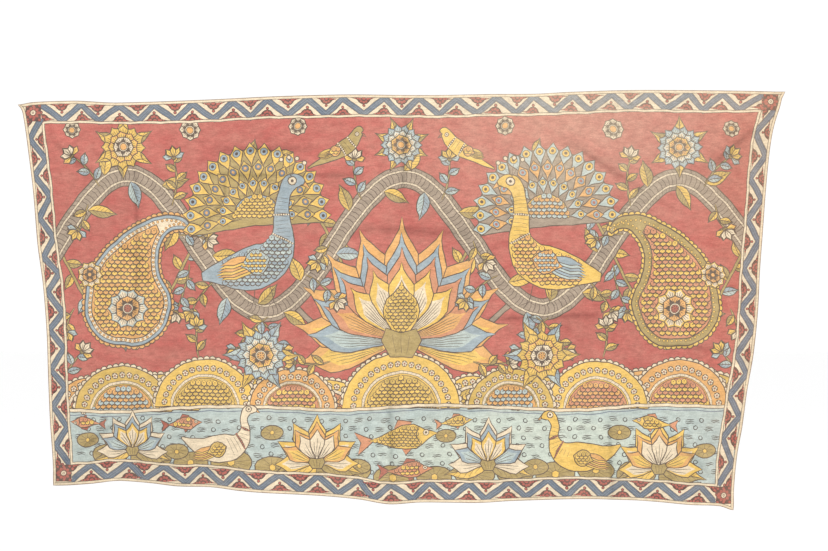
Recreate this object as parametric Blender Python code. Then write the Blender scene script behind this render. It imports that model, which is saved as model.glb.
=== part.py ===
"""A painted cotton wall cloth, hung flat by its top edge.

The cloth is one hemmed piece. It hangs in the XZ plane with its painted face
towards -Y, and the origin is on its top edge, halfway along. Sizes are in metres.
"""

import math

import bpy

# The cloth with its turned and pressed hem, taken as one even thickness
CLOTH_THICKNESS = 0.0016

# Where the four corners hang (x, z). The corners are drawn out to small points.
TOP_LEFT = (-0.862, -0.022)
TOP_RIGHT = (0.863, 0.007)
BOTTOM_LEFT = (-0.782, -0.878)
BOTTOM_RIGHT = (0.747, -0.934)

# How each edge bows from the straight line between its corners.
# Columns: share of the way along the edge, distance outwards.
TOP_BOW = (
    (0.00, 0.0000),
    (0.02, 0.0050),
    (0.07, 0.0070),
    (0.13, 0.0010),
    (0.25, 0.0045),
    (0.33, 0.0090),
    (0.42, 0.0108),
    (0.50, 0.0075),
    (0.56, 0.0058),
    (0.61, 0.0062),
    (0.67, 0.0050),
    (0.72, 0.0080),
    (0.79, 0.0098),
    (0.88, 0.0072),
    (0.95, 0.0036),
    (1.00, 0.0000),
)
BOTTOM_BOW = (
    (0.00, 0.0000),
    (0.053, -0.0058),
    (0.100, -0.0148),
    (0.145, -0.0128),
    (0.185, -0.0088),
    (0.230, -0.0106),
    (0.275, -0.0046),
    (0.320, -0.0006),
    (0.400, 0.0012),
    (0.450, 0.0058),
    (0.494, 0.0145),
    (0.539, 0.0078),
    (0.583, 0.0052),
    (0.627, 0.0026),
    (0.671, -0.0044),
    (0.715, -0.0088),
    (0.800, -0.0138),
    (0.850, -0.0142),
    (0.892, -0.0120),
    (0.936, -0.0082),
    (0.980, -0.0080),
    (1.00, 0.0000),
)
LEFT_BOW = (
    (0.00, 0.0000),
    (0.012, -0.0075),
    (0.035, -0.0105),
    (0.12, -0.0130),
    (0.23, -0.0155),
    (0.36, -0.0140),
    (0.48, -0.0175),
    (0.60, -0.0155),
    (0.72, -0.0095),
    (0.83, -0.0050),
    (0.95, -0.0030),
    (1.00, 0.0000),
)
RIGHT_BOW = (
    (0.00, 0.0000),
    (0.014, -0.0052),
    (0.035, -0.0076),
    (0.070, -0.0138),
    (0.100, -0.0168),
    (0.140, -0.0178),
    (0.235, -0.0156),
    (0.330, -0.0113),
    (0.430, -0.0068),
    (0.520, -0.0006),
    (0.620, 0.0016),
    (0.715, -0.0026),
    (0.800, -0.0032),
    (0.870, -0.0066),
    (0.950, -0.0046),
    (1.00, 0.0000),
)

# Old fold lines, pulls from the corners and wrinkles, as soft ridges towards
# the viewer, or troughs where the height is negative.
# Columns: start x, start z, end x, end z, height, half width.
FOLDS = (
    (-0.597, -0.140, -0.590, -0.345, 0.0050, 0.022),
    (-0.615, -0.340, -0.590, -0.620, 0.0030, 0.030),
    (-0.420, -0.178, -0.093, -0.184, 0.0036, 0.020),
    (-0.420, -0.124, -0.200, -0.120, -0.0022, 0.022),
    (-0.397, -0.187, -0.435, -0.281, 0.0040, 0.018),
    (-0.640, -0.330, -0.570, -0.375, -0.0034, 0.020),
    (-0.024, -0.560, -0.018, -0.905, 0.0046, 0.024),
    (0.010, -0.010, -0.004, -0.260, -0.0028, 0.034),
    (0.199, -0.502, 0.447, -0.494, 0.0038, 0.020),
    (0.469, -0.680, 0.474, -0.915, 0.0052, 0.026),
    (0.330, -0.060, 0.560, -0.240, 0.0030, 0.040),
    (-0.850, -0.030, -0.620, -0.210, 0.0085, 0.036),
    (0.850, -0.004, 0.600, -0.205, 0.0100, 0.040),
    (-0.775, -0.870, -0.600, -0.700, 0.0060, 0.036),
    (0.735, -0.915, 0.560, -0.700, 0.0075, 0.036),
    (-0.300, -0.760, -0.270, -0.905, -0.0050, 0.040),
    (0.200, -0.740, 0.235, -0.915, -0.0046, 0.042),
)

# The share of a fold's height that is lost at its two ends
END_FADE = 0.5

# The loose lower part of the cloth stands in shallow upright waves.
# Columns: wave length, phase in turns, lean of the wave, height at the hem.
WAVES = (
    (0.620, 0.15, 0.20, 0.0060),
    (0.340, 0.60, -0.35, 0.0032),
    (0.205, 0.05, 0.25, 0.0014),
)

# How steeply the waves grow from nothing at the top edge to the hem
WAVE_GROWTH = 1.6

# The middle of the cloth hangs a little forward of its edges, most of all just
# below half height, and the hem still stands out by a part of it.
BELLY = 0.010
BELLY_HALF_WAVES = 0.62

# Steps in from each edge, as shares, where the outline turns sharply,
# and the even steps between them.
CORNER_STEPS = (0.0, 0.008, 0.020, 0.036)
COLUMNS_BETWEEN = 50
ROWS_BETWEEN = 26

# Madder red, the colour that covers most of the cloth
COTTON_COLOUR = (0.66, 0.26, 0.20, 1.0)
COTTON_ROUGHNESS = 0.92


def bow_at(table, share):
    """Reads an edge's bow as a smooth curve through the rows of its table."""
    for row in range(len(table) - 1):
        start, start_bow = table[row]
        end, end_bow = table[row + 1]
        if share <= end:
            break
    before, before_bow = table[max(row - 1, 0)]
    after, after_bow = table[min(row + 2, len(table) - 1)]
    start_slope = (end_bow - before_bow) / (end - before)
    end_slope = (after_bow - start_bow) / (after - start)
    if (end_bow - start_bow) * (start_bow - before_bow) <= 0:
        start_slope = 0.0
    if (end_bow - start_bow) * (after_bow - end_bow) <= 0:
        end_slope = 0.0
    gap = end - start
    t = (share - start) / gap
    curve = (2 * t ** 3 - 3 * t ** 2 + 1) * start_bow
    curve += (t ** 3 - 2 * t ** 2 + t) * gap * start_slope
    curve += (3 * t ** 2 - 2 * t ** 3) * end_bow
    curve += (t ** 3 - t ** 2) * gap * end_slope
    return curve


def edge_point(start, end, table, share, outward_x, outward_z):
    """A point of an edge: the straight line between corners, plus its bow."""
    bow = bow_at(table, share)
    x = start[0] + (end[0] - start[0]) * share + bow * outward_x
    z = start[1] + (end[1] - start[1]) * share + bow * outward_z
    return x, z


def place(across, down):
    """Spreads the cloth between its four edges; both shares run from 0 to 1."""
    top = edge_point(TOP_LEFT, TOP_RIGHT, TOP_BOW, across, 0, 1)
    bottom = edge_point(BOTTOM_LEFT, BOTTOM_RIGHT, BOTTOM_BOW, across, 0, -1)
    left = edge_point(TOP_LEFT, BOTTOM_LEFT, LEFT_BOW, down, -1, 0)
    right = edge_point(TOP_RIGHT, BOTTOM_RIGHT, RIGHT_BOW, down, 1, 0)
    spot = []
    for axis in (0, 1):
        between_sides = left[axis] * (1 - across) + right[axis] * across
        between_ends = top[axis] * (1 - down) + bottom[axis] * down
        upper = TOP_LEFT[axis] * (1 - across) + TOP_RIGHT[axis] * across
        lower = BOTTOM_LEFT[axis] * (1 - across) + BOTTOM_RIGHT[axis] * across
        corners = upper * (1 - down) + lower * down
        spot.append(between_sides + between_ends - corners)
    return spot


def fold_height(x, z):
    """Adds up the ridges and troughs that pass near a point."""
    height = 0.0
    for start_x, start_z, end_x, end_z, ridge, half_width in FOLDS:
        run_x = end_x - start_x
        run_z = end_z - start_z
        length = math.hypot(run_x, run_z)
        along = ((x - start_x) * run_x + (z - start_z) * run_z) / length ** 2
        nearest = min(max(along, 0.0), 1.0)
        away = math.hypot(x - start_x - nearest * run_x, z - start_z - nearest * run_z)
        fading = 1.0 - END_FADE * (2.0 * nearest - 1.0) ** 2
        height += ridge * fading * math.exp(-(away / half_width) ** 2)
    return height


def relief(across, down, x, z):
    """How far a point of the cloth stands forward of the plane it hangs in."""
    loose = down ** WAVE_GROWTH
    forward = BELLY * math.sin(math.pi * across) * math.sin(math.pi * down * BELLY_HALF_WAVES)
    for wave_length, phase, lean, height in WAVES:
        turns = (x + lean * z) / wave_length + phase
        forward += height * loose * math.sin(2 * math.pi * turns)
    return forward + fold_height(x, z)


def steps(between):
    """Shares across the cloth: fine at both edges and even between them."""
    first = CORNER_STEPS[-1]
    middle = [first + (1 - 2 * first) * i / between for i in range(1, between)]
    return list(CORNER_STEPS) + middle + [1 - step for step in reversed(CORNER_STEPS)]


def hung_sheet(name):
    """The painted face of the cloth, a net of triangles on its hung shape."""
    columns = steps(COLUMNS_BETWEEN)
    rows = steps(ROWS_BETWEEN)
    middle_x, middle_z = place(0.5, 0.0)
    middle_forward = relief(0.5, 0.0, middle_x, middle_z)
    points = []
    for down in rows:
        for across in columns:
            x, z = place(across, down)
            forward = relief(across, down, x, z) - middle_forward
            points.append((x - middle_x, -forward, z - middle_z))
    triangles = []
    wide = len(columns)
    for row in range(len(rows) - 1):
        for column in range(wide - 1):
            upper_left = row * wide + column
            lower_left = upper_left + wide
            triangles.append((upper_left, lower_left, lower_left + 1))
            triangles.append((upper_left, lower_left + 1, upper_left + 1))
    mesh = bpy.data.meshes.new(name)
    mesh.from_pydata(points, [], triangles)
    mesh.shade_smooth()
    return mesh


def cotton():
    """Matt hand-dyed cotton."""
    material = bpy.data.materials.new("dyed_cotton")
    material.use_nodes = True
    surface = material.node_tree.nodes["Principled BSDF"]
    surface.inputs["Base Color"].default_value = COTTON_COLOUR
    surface.inputs["Roughness"].default_value = COTTON_ROUGHNESS
    surface.inputs["Metallic"].default_value = 0.0
    return material


def painted_cloth():
    """The whole cloth, thickened backwards from its painted face."""
    name = "painted_cloth"
    mesh = hung_sheet(name)
    mesh.materials.append(cotton())
    cloth = bpy.data.objects.new(name, mesh)
    bpy.context.collection.objects.link(cloth)
    thickness = cloth.modifiers.new("thickness", "SOLIDIFY")
    thickness.thickness = CLOTH_THICKNESS
    thickness.offset = -1.0
    thickness.use_even_offset = True
    thickness.use_rim = True
    return cloth


for old in list(bpy.data.objects):
    bpy.data.objects.remove(old, do_unlink=True)

painted_cloth()
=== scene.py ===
import math
import random

import bpy
import numpy as np
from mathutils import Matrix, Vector
from mathutils.bvhtree import BVHTree
from mathutils.geometry import delaunay_2d_cdt


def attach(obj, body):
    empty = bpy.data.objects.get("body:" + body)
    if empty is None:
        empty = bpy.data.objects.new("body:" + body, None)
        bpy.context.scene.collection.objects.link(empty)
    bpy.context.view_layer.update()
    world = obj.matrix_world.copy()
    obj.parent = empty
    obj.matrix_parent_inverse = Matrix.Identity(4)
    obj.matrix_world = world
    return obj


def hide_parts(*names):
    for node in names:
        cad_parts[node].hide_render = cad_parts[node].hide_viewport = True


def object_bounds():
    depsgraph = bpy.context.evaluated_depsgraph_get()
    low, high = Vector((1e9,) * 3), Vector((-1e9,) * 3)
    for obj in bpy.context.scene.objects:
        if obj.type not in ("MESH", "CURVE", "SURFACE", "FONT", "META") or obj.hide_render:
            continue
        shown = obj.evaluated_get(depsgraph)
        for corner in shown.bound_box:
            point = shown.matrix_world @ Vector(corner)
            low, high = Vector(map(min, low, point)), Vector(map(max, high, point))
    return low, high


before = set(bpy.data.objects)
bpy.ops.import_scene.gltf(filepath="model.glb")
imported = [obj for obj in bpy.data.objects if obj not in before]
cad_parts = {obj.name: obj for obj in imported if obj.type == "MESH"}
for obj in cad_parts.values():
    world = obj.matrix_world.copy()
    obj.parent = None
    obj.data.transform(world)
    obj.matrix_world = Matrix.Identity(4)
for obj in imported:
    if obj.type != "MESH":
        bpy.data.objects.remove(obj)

solid_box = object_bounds()
random.seed(11)

# The cloth as it hangs
# One width of handloom cotton, held along its top edge. Its corners are drawn out,
# its sides curve in, and old folds and pulls still stand in it as soft ridges.
TOP_LEFT = (-0.862, -0.022)
TOP_RIGHT = (0.863, 0.007)
BOTTOM_LEFT = (-0.782, -0.878)
BOTTOM_RIGHT = (0.747, -0.934)

# Each edge's bow from the straight line between its corners: share along, metres outwards
TOP_BOW = (
    (0.00, 0.0000), (0.02, 0.0050), (0.07, 0.0070), (0.13, 0.0010), (0.25, 0.0045), (0.33, 0.0090),
    (0.42, 0.0108), (0.50, 0.0075), (0.56, 0.0058), (0.61, 0.0062), (0.67, 0.0050), (0.72, 0.0080),
    (0.79, 0.0098), (0.88, 0.0072), (0.95, 0.0036), (1.00, 0.0000),
)
BOTTOM_BOW = (
    (0.00, 0.0000), (0.053, -0.0058), (0.100, -0.0148), (0.145, -0.0128), (0.185, -0.0088),
    (0.230, -0.0106), (0.275, -0.0046), (0.320, -0.0006), (0.400, 0.0012), (0.450, 0.0058),
    (0.494, 0.0145), (0.539, 0.0078), (0.583, 0.0052), (0.627, 0.0026), (0.671, -0.0044),
    (0.715, -0.0088), (0.800, -0.0138), (0.850, -0.0142), (0.892, -0.0120), (0.936, -0.0082),
    (0.980, -0.0080), (1.00, 0.0000),
)
LEFT_BOW = (
    (0.00, 0.0000), (0.012, -0.0075), (0.035, -0.0105), (0.12, -0.0130), (0.23, -0.0155),
    (0.36, -0.0140), (0.48, -0.0175), (0.60, -0.0155), (0.72, -0.0095), (0.83, -0.0050),
    (0.95, -0.0030), (1.00, 0.0000),
)
RIGHT_BOW = (
    (0.00, 0.0000), (0.014, -0.0052), (0.035, -0.0076), (0.070, -0.0138), (0.100, -0.0168),
    (0.140, -0.0178), (0.235, -0.0156), (0.330, -0.0113), (0.430, -0.0068), (0.520, -0.0006),
    (0.620, 0.0016), (0.715, -0.0026), (0.800, -0.0032), (0.870, -0.0066), (0.950, -0.0046),
    (1.00, 0.0000),
)
SHARES = np.linspace(0.0, 1.0, 801)


def smooth_bow(table):
    """A smooth curve through the rows of an edge's table, read at every share."""
    curve = []
    for share in SHARES:
        row = next(i for i in range(len(table) - 1) if share <= table[i + 1][0])
        start, start_bow = table[row]
        end, end_bow = table[row + 1]
        before, before_bow = table[max(row - 1, 0)]
        after, after_bow = table[min(row + 2, len(table) - 1)]
        start_slope = (end_bow - before_bow) / (end - before)
        end_slope = (after_bow - start_bow) / (after - start)
        if (end_bow - start_bow) * (start_bow - before_bow) <= 0:
            start_slope = 0.0
        if (end_bow - start_bow) * (after_bow - end_bow) <= 0:
            end_slope = 0.0
        gap = end - start
        t = (share - start) / gap
        bow = (2 * t ** 3 - 3 * t ** 2 + 1) * start_bow + (3 * t ** 2 - 2 * t ** 3) * end_bow
        bow += ((t ** 3 - 2 * t ** 2 + t) * start_slope + (t ** 3 - t ** 2) * end_slope) * gap
        curve.append(bow)
    return np.array(curve)


TOP, BOTTOM, LEFT, RIGHT = [smooth_bow(table) for table in (TOP_BOW, BOTTOM_BOW, LEFT_BOW, RIGHT_BOW)]


def spread(across, down, calm=0.0):
    """A point of the cloth between its edges; a calm share leaves out the drawn corners."""
    u = np.clip(across, calm, 1 - calm)
    v = np.clip(down, calm, 1 - calm)
    spot = []
    for axis in (0, 1):
        upper = TOP_LEFT[axis] * (1 - across) + TOP_RIGHT[axis] * across
        lower = BOTTOM_LEFT[axis] * (1 - across) + BOTTOM_RIGHT[axis] * across
        spot.append(upper * (1 - down) + lower * down)
    x = spot[0] + np.interp(v, SHARES, RIGHT) * across - np.interp(v, SHARES, LEFT) * (1 - across)
    z = spot[1] + np.interp(u, SHARES, TOP) * (1 - down) - np.interp(u, SHARES, BOTTOM) * down
    return x, z


MIDDLE_X, MIDDLE_Z = spread(0.5, 0.0)


def hung(across, down, calm=0.0):
    """The same point measured from the middle of the top edge."""
    x, z = spread(across, down, calm)
    return x - MIDDLE_X, z - MIDDLE_Z


def width_at(down):
    """The cloth's width at a share of the way down."""
    return 1.725 - 0.196 * down


def drop_at(across):
    """The cloth's height at a share of the way across."""
    return 0.860 + 0.082 * across


# Folds: start x, start z, end x, end z, height towards the viewer, half width
FOLDS = (
    (-0.597, -0.140, -0.590, -0.345, 0.0050, 0.022),
    (-0.615, -0.340, -0.590, -0.620, 0.0030, 0.030),
    (-0.420, -0.178, -0.093, -0.184, 0.0036, 0.020),
    (-0.420, -0.124, -0.200, -0.120, -0.0022, 0.022),
    (-0.397, -0.187, -0.435, -0.281, 0.0040, 0.018),
    (-0.640, -0.330, -0.570, -0.375, -0.0034, 0.020),
    (-0.024, -0.560, -0.018, -0.905, 0.0046, 0.024),
    (0.010, -0.010, -0.004, -0.260, -0.0028, 0.034),
    (0.199, -0.502, 0.447, -0.494, 0.0038, 0.020),
    (0.469, -0.680, 0.474, -0.915, 0.0052, 0.026),
    (0.330, -0.060, 0.560, -0.240, 0.0030, 0.040),
    (-0.850, -0.030, -0.620, -0.210, 0.0085, 0.036),
    (0.850, -0.004, 0.600, -0.205, 0.0100, 0.040),
    (-0.775, -0.870, -0.600, -0.700, 0.0060, 0.036),
    (0.735, -0.915, 0.560, -0.700, 0.0075, 0.036),
    (-0.300, -0.760, -0.270, -0.905, -0.0050, 0.040),
    (0.200, -0.740, 0.235, -0.915, -0.0046, 0.042),
)
# Waves of the loose lower part: wave length, phase in turns, lean, height at the hem
WAVES = (
    (0.620, 0.15, 0.20, 0.0060),
    (0.340, 0.60, -0.35, 0.0032),
    (0.205, 0.05, 0.25, 0.0014),
)
WAVE_GROWTH = 1.6
BELLY = 0.010
BELLY_HALF_WAVES = 0.62
FOLD_FADE = 0.5


def ridge(x, z, line, half_width, end_fade, height=1.0):
    """How high a fold stands at a point, less and less towards its two ends."""
    start_x, start_z, end_x, end_z = line
    run_x, run_z = end_x - start_x, end_z - start_z
    along = ((x - start_x) * run_x + (z - start_z) * run_z) / (run_x ** 2 + run_z ** 2)
    nearest = np.clip(along, 0.0, 1.0)
    away = np.hypot(x - start_x - nearest * run_x, z - start_z - nearest * run_z)
    return height * (1.0 - end_fade * (2.0 * nearest - 1.0) ** 2) * np.exp(-(away / half_width) ** 2)


def forward(across, down):
    """How far the cloth stands forward of the plane it hangs in."""
    x, z = spread(across, down)
    depth = BELLY * np.sin(np.pi * across) * np.sin(np.pi * down * BELLY_HALF_WAVES)
    for length, phase, lean, height in WAVES:
        depth = depth + height * down ** WAVE_GROWTH * np.sin(2 * np.pi * ((x + lean * z) / length + phase))
    for *line, height, half_width in FOLDS:
        depth = depth + ridge(x, z, line, half_width, FOLD_FADE, height)
    return depth


# The plain ground
# Bleached cotton dipped in myrobalan turns cream. The red field and the pale blue
# pond are brushed on in flat areas, shape by shape, with a bamboo pen for the lines.
LIGHT_SHARE = 0.81


def dye(red, green, blue):
    """A dyed cotton's colour, from the red, green and blue that it shows in the studio's light."""
    shown = np.array((red, green, blue)) / 255
    return tuple(LIGHT_SHARE * np.where(shown > 0.04045, ((shown + 0.055) / 1.055) ** 2.4, shown / 12.92))


CREAM = dye(248, 228, 196)
MADDER = dye(201, 113, 104)
POND = dye(196, 208, 202)
INK = dye(107, 93, 84)
shapes = []


def lay(loop, colour):
    """Paints one closed shape over what is already there."""
    shapes.append((loop, colour))


def flow(points, between=5):
    """A smooth line through a few points, with whatever else each point carries."""
    line = []
    last = len(points) - 1
    for i in range(last):
        before, start, end, after = points[max(i - 1, 0)], points[i], points[i + 1], points[min(i + 2, last)]
        for step in range(between):
            t = step / between
            line.append(tuple(
                0.5 * (2 * b + (c - a) * t + (2 * a - 5 * b + 4 * c - d) * t ** 2
                       + (3 * b - a - 3 * c + d) * t ** 3)
                for a, b, c, d in zip(before, start, end, after)))
    line.append(tuple(points[last]))
    return line


FIELD_TOP = 0.052
FIELD_FOOT = 0.95
FIELD_CALM = 0.03
field_top = [hung(share, FIELD_TOP, FIELD_CALM) for share in np.linspace(0.02, 0.98, 60)]
field_foot = [hung(share, FIELD_FOOT, FIELD_CALM) for share in np.linspace(0.98, 0.02, 60)]
lay(field_top + field_foot, MADDER)

SHORE = -0.704
SHORE_LINE = flow([(-0.84, SHORE), (-0.62, SHORE - 0.008), (-0.40, SHORE + 0.005), (-0.15, SHORE - 0.004),
                   (0.10, SHORE + 0.007), (0.36, SHORE - 0.004), (0.58, SHORE + 0.006), (0.84, SHORE)], 8)
lay(SHORE_LINE + field_foot, POND)


def blended(colour, other, share):
    """A colour part of the way to another."""
    return tuple(c * (1 - share) + w * share for c, w in zip(colour, other))


# The blue is brushed on thinner towards the right, in patches that fade into one another
PALEST_POND = dye(214, 223, 209)
for share in (0.25, 0.5, 0.75, 1.0):
    wide, high = 0.44 - 0.20 * share, 0.105 - 0.030 * share
    patch = []
    for t in np.linspace(0, 2 * math.pi, 25)[:-1]:
        patch.append((0.28 + wide * math.cos(t), min(SHORE - 0.095 + high * math.sin(t), SHORE - 0.004)))
    lay(patch, blended(POND, PALEST_POND, share))

# The creeper
# A thick grey-brown stem winds across the red field from border to border, drawn
# with the pen in two firm edges and close rings, like old bark.
BARK = dye(176, 158, 140)
PALE_BARK = dye(238, 218, 188)
PEN = 0.0022
FINE_PEN = 0.0014
STEM_HALF = 0.0235
RING_GAP = 0.0105
ROPE_PLACE = 0.56
ROPE_WIDTH = 0.0062
ROPE_CORE = 0.0040


def sides(line):
    """The two edges of a line whose points carry a half width, mitred where it turns."""
    ways = []
    for a, b in zip(line, line[1:]):
        run = math.dist(a[:2], b[:2]) or 1.0
        ways.append(((a[1] - b[1]) / run, (b[0] - a[0]) / run))
    left, right = [], []
    for i, (x, z, half) in enumerate(line):
        before, after = ways[max(i - 1, 0)], ways[min(i, len(ways) - 1)]
        mid_x, mid_z = before[0] + after[0], before[1] + after[1]
        length = math.hypot(mid_x, mid_z) or 1.0
        reach = half / max(0.6, length / 2) / length
        left.append((x + mid_x * reach, z + mid_z * reach))
        right.append((x - mid_x * reach, z - mid_z * reach))
    return left, right


def band(line, colour):
    """A painted band, laid stretch by stretch so that it may curl over itself."""
    left, right = sides(line)
    for i in range(len(line) - 1):
        lay([left[i], right[i], right[i + 1], left[i + 1]], colour)


def pen(line, width=PEN, colour=INK):
    """A pen line, finer where the pen comes down and lifts."""
    last = len(line) - 1
    band([(x, z, width * (0.5 if 0 < i < last else 0.25)) for i, (x, z) in enumerate(line)], colour)


def walk(line, gap, start=0.0):
    """Even steps along a line: x, z, direction and share of the whole."""
    lengths = [math.dist(a[:2], b[:2]) for a, b in zip(line, line[1:])]
    total = sum(lengths)
    steps, travelled, i = [], 0.0, 0
    target = start
    while target < total - 1e-6:
        while travelled + lengths[i] < target:
            travelled += lengths[i]
            i += 1
        share = (target - travelled) / lengths[i]
        (ax, az), (bx, bz) = line[i][:2], line[i + 1][:2]
        steps.append((ax + (bx - ax) * share, az + (bz - az) * share,
                      math.degrees(math.atan2(bz - az, bx - ax)), target / total))
        target += gap
    return steps


def around(x, z, radius, turn):
    """The point at a distance from another, in a direction given in radians."""
    return x + radius * math.cos(turn), z + radius * math.sin(turn)


def ticks(line, gap, lean, reach, width):
    """Slanting strokes along a rope."""
    for x, z, way, share in walk(line, gap, 0.004):
        a = math.radians(way + lean)
        pen([around(x, z, -reach, a), around(x, z, reach, a)], width)


def stem(points, between=6, rings=True):
    """A stem with inked edges, bark rings and two ropes; its points carry their half widths."""
    line = flow(points, between)
    band([(x, z, half + PEN * 0.6) for x, z, half in line], INK)
    band([(x, z, half - PEN * 0.4) for x, z, half in line], BARK)
    if not rings:
        return
    for x, z, turn, share in walk(line, RING_GAP):
        half = STEM_HALF - PEN * 0.4
        a, b = math.radians(turn), math.radians(turn + 90)
        bow = half * 0.40 + random.uniform(-0.002, 0.002)
        ring = [(x + math.cos(b) * half * k + math.cos(a) * bow * (1 - k * k),
                 z + math.sin(b) * half * k + math.sin(a) * bow * (1 - k * k)) for k in (-1, -0.5, 0, 0.5, 1)]
        pen(ring, FINE_PEN)
    for shift in (-ROPE_PLACE, ROPE_PLACE):
        left, right = sides([(x, z, half * shift) for x, z, half in line])
        pen(left, ROPE_WIDTH)
        pen(left, ROPE_CORE, PALE_BARK)
        ticks(left, 0.0088, 60, 0.0020, 0.0011)


CREEPER_WAVE = 0.62
CREST = 0.150
CREEPER_Z = -0.335


def creeper_z(x):
    """The height of the creeper's middle line."""
    return CREEPER_Z + CREST * math.cos(2 * math.pi * x / CREEPER_WAVE) + 0.008 * math.sin(9 * x)


# Leaves
# Long pointed leaves spring from the stem in pairs, half one dye and half another,
# with a midrib and slanting veins.
OLIVE = dye(190, 166, 112)
YELLOW = dye(250, 207, 114)
MUSTARD = dye(229, 192, 110)
ORANGE = dye(242, 184, 118)
SALMON = dye(226, 158, 122)
BLUE = dye(170, 184, 190)
PALE_BLUE = dye(198, 210, 204)
SLATE = dye(132, 140, 152)
BRICK = dye(190, 116, 100)


def swell(loop, distance):
    """Moves a closed outline outwards by a distance, or inwards where it is negative."""
    count = len(loop)
    area = sum(loop[i - 1][0] * loop[i][1] - loop[i][0] * loop[i - 1][1] for i in range(count))
    side = math.copysign(distance, area * distance)
    grown = []
    for i in range(count):
        (ax, az), (bx, bz) = loop[i - 1], loop[(i + 1) % count]
        run = math.hypot(bx - ax, bz - az) or 1.0
        grown.append((loop[i][0] + side * (bz - az) / run, loop[i][1] - side * (bx - ax) / run))
    return grown


def inked(loop, colour, width=PEN):
    """A shape with a pen line round it."""
    lay(swell(loop, width * 0.5), INK)
    lay(swell(loop, -width * 0.5), colour)


def placed(x, z, turn=0.0, size=1.0, flip=1):
    """Gives a motif its place: its own along and across become the cloth's x and z."""
    c, s = size * math.cos(math.radians(turn)), size * math.sin(math.radians(turn))

    def on_cloth(points):
        return [(x + p[0] * c - p[1] * flip * s, z + p[0] * s + p[1] * flip * c) for p in points]
    return on_cloth


def disc(x, z, radius, count=8):
    """A small round shape."""
    turns = [2 * math.pi * (k + 0.5) / count for k in range(count)]
    return [around(x, z, radius, t) for t in turns]


def half_width(t, width, full):
    """Half the width of a pointed blade at a share of its length."""
    belly = math.sin(math.pi * t ** (math.log(0.5) / math.log(full)))
    return width / 2 * belly * min(1.0, (1 - t) * 3.4 + 0.05)


def blade(start, end, width, full=0.45, bend=0.0, count=6):
    """A pointed blade along its own axis, widest at a share of its length."""
    left, right = [], []
    for i in range(1, count):
        t = i / count
        along = start + (end - start) * t
        left.append((along, bend * t * t + half_width(t, width, full)))
        right.append((along, bend * t * t - half_width(t, width, full)))
    return [(start, 0.0)] + left + [(end, bend)] + right[::-1]


def leaf(x, z, turn, length, width, colours, bend=0.0, veins=5):
    """A leaf with its two halves in different dyes."""
    on_cloth = placed(x, z, turn)
    loop = blade(0.0, length, width, 0.42, bend)
    inked(on_cloth(loop), colours[0])
    middle = [(length * t, bend * t * t) for t in (0.0, 0.2, 0.4, 0.6, 0.8, 0.96)]
    upper = [p for p in loop if p[1] > bend * (p[0] / length) ** 2 + 1e-6]
    if colours[1] != colours[0]:
        half = [(a, b - PEN * 0.5) for a, b in upper]
        lay(on_cloth(middle + half[::-1]), colours[1])
    pen(on_cloth(middle), FINE_PEN * 1.2)
    for k in range(veins):
        t = 0.16 + 0.66 * k / veins
        reach = width * 0.5 * math.sin(math.pi * (t + 0.1)) * 0.8
        for side in (-1, 1):
            rib = [(length * t, bend * t * t), (length * (t + 0.16), bend * (t + 0.16) ** 2 + side * reach)]
            pen(on_cloth(rib), FINE_PEN)


# Round flowers
# Rings of petals overlap inwards round a dotted heart. Each petal is inked, dyed
# and given a few fine strokes from its root.
def petal(on_cloth, start, end, width, colour, inner=None, full=0.6, veins=3, steps=6):
    """One petal, with a paler middle and fine strokes that follow its sides."""
    inked(on_cloth(blade(start, end, width, full, 0.0, steps)), colour)
    reach = end - start
    if inner:
        lay(on_cloth(blade(start + reach * 0.08, end - reach * 0.17, width * 0.66, full, 0.0, steps)), inner)
    for k in range(veins):
        side = (k - (veins - 1) / 2) * 1.5 / veins
        length = 0.72 - 0.22 * abs(side)
        stroke = []
        for t in (0.14, length * 0.6, length):
            stroke.append((start + reach * t, side * half_width(t, width * 0.92, full)))
        pen(on_cloth(stroke), FINE_PEN)


def rosette(x, z, radius, rings, heart=ORANGE, turn=0.0):
    """A round flower. Its rings give petals, outer and inner share, dye and inner dye."""
    lay(disc(x, z, radius * 0.7, 16), INK)
    for row, (count, outer, inner, colour, middle) in enumerate(rings):
        width = 2 * math.pi * (outer * 0.62 + inner * 0.38) / count * 1.12
        for k in range(count):
            angle = turn + 360 * (k + 0.5 * (row % 2)) / count
            petal(placed(x, z, angle, radius), inner, outer, width, colour, middle)
    core = rings[-1][2] * radius * 1.08
    inked(disc(x, z, core, 14), CREAM)
    inked(disc(x, z, core * 0.72, 12), heart, FINE_PEN)
    if core > 0.012:
        for ring, count in ((0.46, 7), (0.0, 1)):
            for k in range(count):
                lay(disc(*around(x, z, core * ring, 2 * math.pi * k / count), 0.0016, 5), INK)


# Paisleys
# A full drop with a curled tip: a scalloped rim, a beaded band and a field of
# overlapping scales round a small flower.
PAISLEY_SPINE = (
    (0.00, 0.00, 0.02), (0.03, 0.00, 0.15), (0.12, -0.01, 0.27), (0.30, -0.03, 0.345), (0.52, -0.02, 0.30),
    (0.72, 0.06, 0.20), (0.87, 0.19, 0.115), (0.95, 0.34, 0.065), (0.93, 0.46, 0.04), (0.86, 0.52, 0.015),
)


def outline(points, between=4):
    """The closed outline of a body drawn round its spine."""
    left, right = sides(flow(points, between))
    return left + right[::-1]


def within(x, z, loop):
    """Whether a point lies inside a closed outline."""
    inside = False
    for (ax, az), (bx, bz) in zip(loop, loop[1:] + loop[:1]):
        if (az > z) != (bz > z) and x < (bx - ax) * (z - az) / (bz - az) + ax:
            inside = not inside
    return inside


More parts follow.
